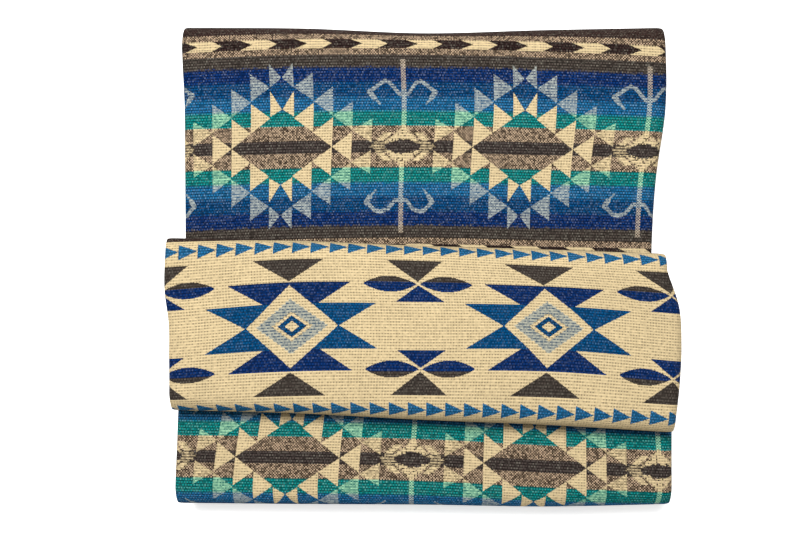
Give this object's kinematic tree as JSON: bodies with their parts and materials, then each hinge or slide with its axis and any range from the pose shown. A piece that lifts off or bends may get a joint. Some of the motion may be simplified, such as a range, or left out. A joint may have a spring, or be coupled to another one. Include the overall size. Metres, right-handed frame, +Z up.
{
  "type": "folded alpaca blanket",
  "caption": "Woven alpaca blanket folded in thirds across and back and forth along its length, with a raised box pleat across the top.",
  "frame": {"origin": "on the surface that the blanket lies on, under the middle of its box", "axes": "+X along the folded width, +Y from the front fold to the back fold, +Z up"},
  "size_m": [0.5149, 0.5013, 0.1113],
  "materials": {
    "alpaca_weave": "soft brushed wool weave"
  },
  "bodies": {
    "root": {"blanket": "alpaca_weave"}
  },
  "joints": []
}
